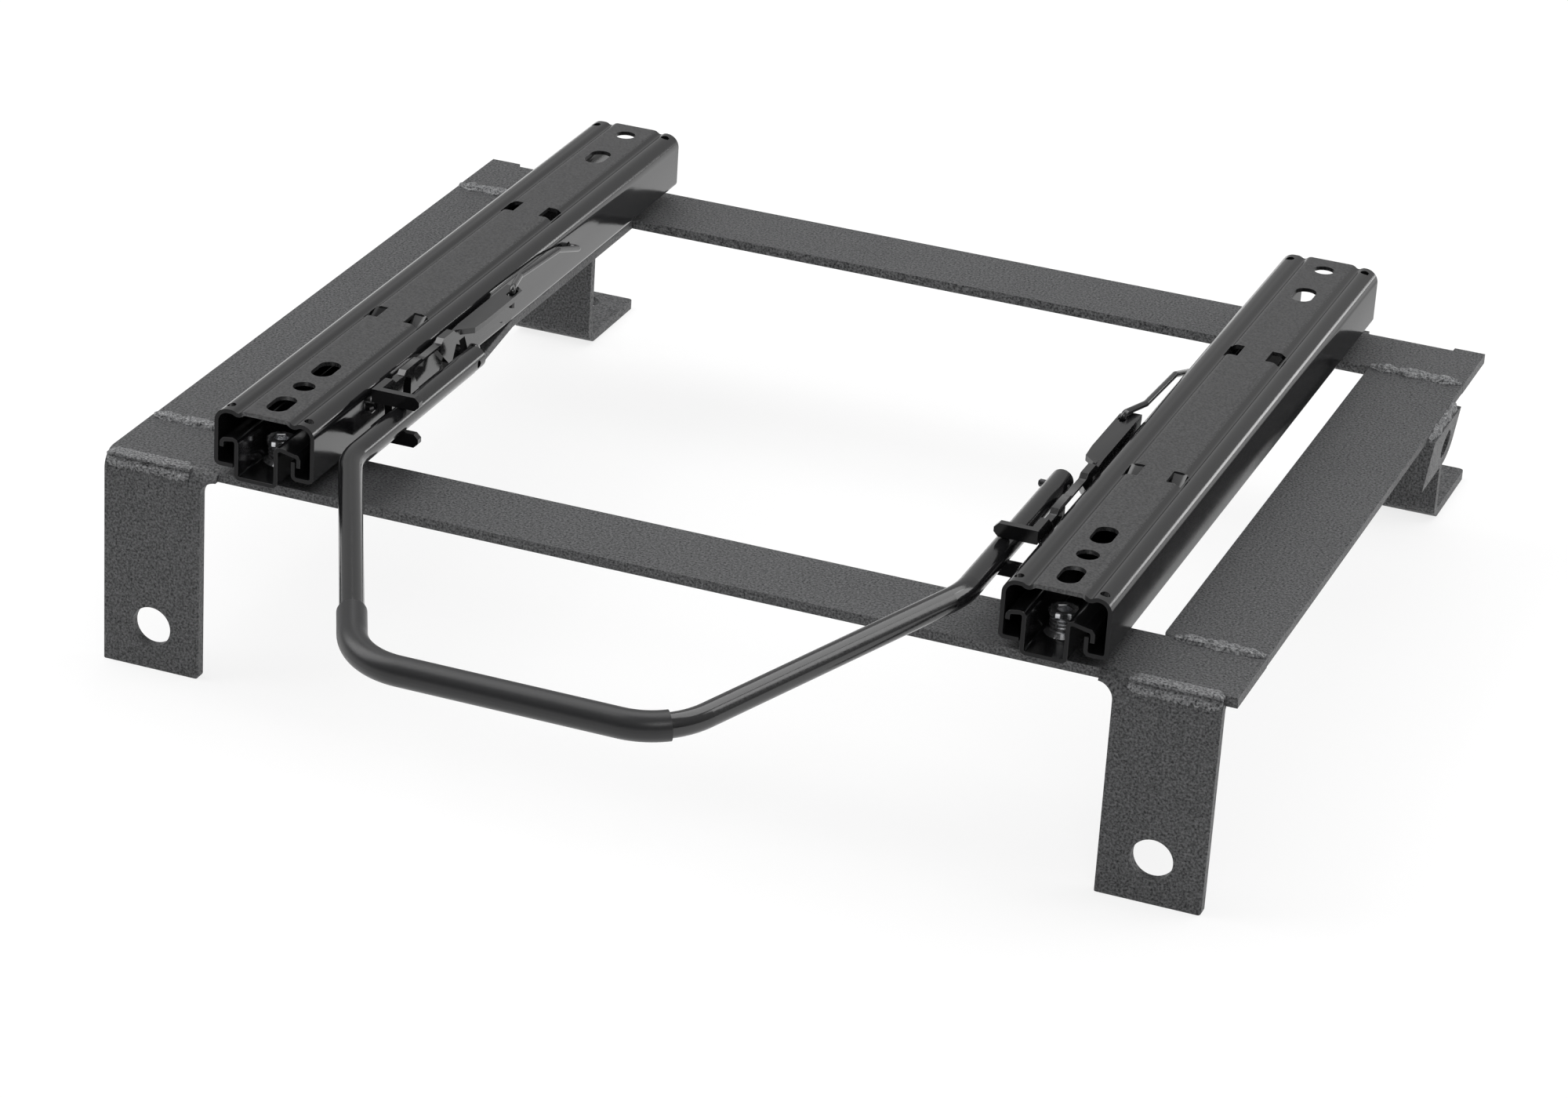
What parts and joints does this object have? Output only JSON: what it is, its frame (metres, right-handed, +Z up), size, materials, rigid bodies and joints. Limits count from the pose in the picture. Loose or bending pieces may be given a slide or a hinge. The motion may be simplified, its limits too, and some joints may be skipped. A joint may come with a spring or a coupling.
{
  "type": "seat bracket",
  "caption": "Welded floor frame with folded legs carrying two seat sliders, unlocked together by a bent release bar at the front.",
  "frame": {"origin": "midway between the two rear floor bolt holes, on the underside of the rear feet", "axes": "+X to the bracket's right as seen by the person on the seat, +Y to the rear of the car, +Z up"},
  "size_m": [0.4449, 0.5304, 0.1164],
  "materials": {
    "frame_paint": "satin textured powder coat",
    "rail_paint": "gloss dip paint",
    "zinc": "bright zinc plate",
    "ball_steel": "polished bearing steel",
    "grip_plastic": "satin shrink sleeve"
  },
  "bodies": {
    "frame": {"front_crossbar": "frame_paint", "rear_crossbar": "frame_paint", "left_side_plate": "frame_paint", "right_side_plate": "frame_paint", "buckle_tab": "frame_paint", "front_left_weld": "frame_paint", "rear_left_weld": "frame_paint", "front_right_weld": "frame_paint", "rear_right_weld": "frame_paint", "left_leg_weld": "frame_paint", "right_leg_weld": "frame_paint", "tab_weld": "frame_paint", "lower_rail_left": "rail_paint", "lower_rail_right": "rail_paint", "slider_bolts_left": "zinc", "slider_bolts_right": "zinc"},
    "left_slide": {"upper_rail_left": "rail_paint", "pivot_stud_left": "rail_paint", "stop_screw_left": "rail_paint", "spring_wire_left": "rail_paint"},
    "right_slide": {"upper_rail_right": "rail_paint", "pivot_stud_right": "rail_paint", "stop_screw_right": "rail_paint", "spring_wire_right": "rail_paint"},
    "left_balls": {"track_balls_left": "ball_steel"},
    "right_balls": {"track_balls_right": "ball_steel"},
    "release_handle": {"release_bar": "rail_paint", "grip_sleeve": "grip_plastic", "cross_pin": "zinc", "latch_lever_left": "rail_paint", "latch_lever_right": "rail_paint"}
  },
  "joints": [
    {"name": "left_slide_travel", "type": "slide", "parent": "frame", "child": "left_slide", "axis": [0, 1, 0], "range_m": [-0.09, 0.09]},
    {"name": "right_slide_travel", "type": "slide", "parent": "frame", "child": "right_slide", "axis": [0, 1, 0], "range_m": [-0.09, 0.09]},
    {"name": "left_ball_travel", "type": "slide", "parent": "frame", "child": "left_balls", "axis": [0, 1, 0], "range_m": [-0.045, 0.045]},
    {"name": "right_ball_travel", "type": "slide", "parent": "frame", "child": "right_balls", "axis": [0, 1, 0], "range_m": [-0.045, 0.045]},
    {"name": "handle_lift", "type": "hinge", "parent": "left_slide", "child": "release_handle", "pos_m": [0, -0.263, 0.0883], "axis": [-1, 0, 0], "range_deg": [0, 7], "stiffness_Nm_per_rad": 20, "springref_deg": -5.73, "deforming": ["spring_wire_left", "spring_wire_right"]}
  ],
  "couplings": [
    {"joint": "right_slide_travel", "follows": "left_slide_travel", "ratio": 1},
    {"joint": "left_ball_travel", "follows": "left_slide_travel", "ratio": 0.5},
    {"joint": "right_ball_travel", "follows": "left_slide_travel", "ratio": 0.5}
  ]
}
